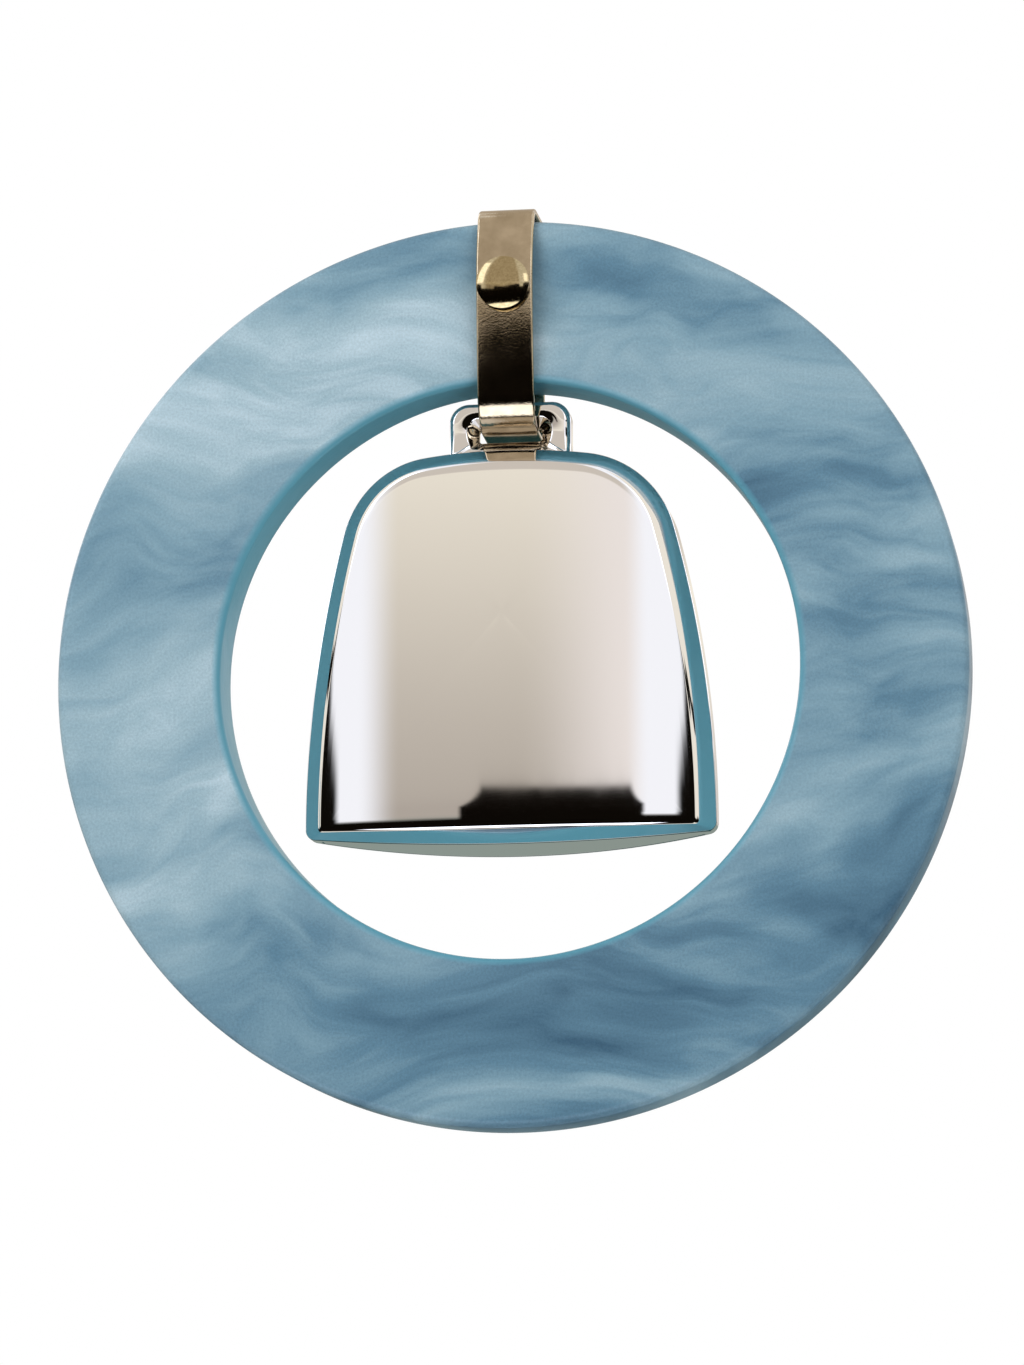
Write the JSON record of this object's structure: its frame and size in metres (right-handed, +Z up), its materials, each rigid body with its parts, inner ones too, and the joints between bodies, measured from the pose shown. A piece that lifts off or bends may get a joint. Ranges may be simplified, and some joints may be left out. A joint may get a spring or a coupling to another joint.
{
  "type": "bell ornament in a ring",
  "caption": "Flat closed rattle bell on a slotted loop, hung inside a pearl plastic ring by a folded and riveted metal strap; it swings and its loose pellets ring it.",
  "frame": {"origin": "hang point: top of the strap where it crosses the ring's crown, on the ring's middle plane", "axes": "+Z up, away from the bell; +X to the right seen from the rivet-head side; +Y to the back, along the ring's axis"},
  "size_m": [0.07, 0.01, 0.0711],
  "materials": {
    "pearl_plastic": "polished pearl-blue resin with cloudy streaks",
    "satin_nickel": "satin warm nickel plate, finely grained",
    "rivet_nickel": "polished warm nickel plate",
    "bell_silver": "mirror-polished silver plate",
    "pellet_steel": "plain tumbled steel"
  },
  "bodies": {
    "ring": {"ring": "pearl_plastic", "strap": "satin_nickel", "rivet": "rivet_nickel"},
    "bell": {"bell_front_shell": "bell_silver", "bell_back_shell": "bell_silver", "bell_bottom_plate": "bell_silver", "bell_loop": "bell_silver"},
    "pellet_1": {"pellet_1": "pellet_steel"},
    "pellet_2": {"pellet_2": "pellet_steel"},
    "pellet_3": {"pellet_3": "pellet_steel"},
    "pellet_4": {"pellet_4": "pellet_steel"},
    "pellet_5": {"pellet_5": "pellet_steel"},
    "pellet_6": {"pellet_6": "pellet_steel"},
    "pellet_7": {"pellet_7": "pellet_steel"}
  },
  "joints": [
    {"name": "bell_swing", "type": "hinge", "parent": "ring", "child": "bell", "pos_m": [0, 0, -0.0161], "axis": [1, 0, 0], "range_deg": [-32, 25]},
    {"name": "pellet_1_rattle", "type": "slide", "parent": "bell", "child": "pellet_1", "axis": [0, 0, 1], "range_m": [0, 0.0235]},
    {"name": "pellet_2_rattle", "type": "slide", "parent": "bell", "child": "pellet_2", "axis": [0, 0, 1], "range_m": [0, 0.0255]},
    {"name": "pellet_3_rattle", "type": "slide", "parent": "bell", "child": "pellet_3", "axis": [0, 0, 1], "range_m": [0, 0.026]},
    {"name": "pellet_4_rattle", "type": "slide", "parent": "bell", "child": "pellet_4", "axis": [0, 0, 1], "range_m": [0, 0.02625]},
    {"name": "pellet_5_rattle", "type": "slide", "parent": "bell", "child": "pellet_5", "axis": [0, 0, 1], "range_m": [0, 0.026]},
    {"name": "pellet_6_rattle", "type": "slide", "parent": "bell", "child": "pellet_6", "axis": [0, 0, 1], "range_m": [0, 0.0255]},
    {"name": "pellet_7_rattle", "type": "slide", "parent": "bell", "child": "pellet_7", "axis": [0, 0, 1], "range_m": [0, 0.0235]}
  ]
}
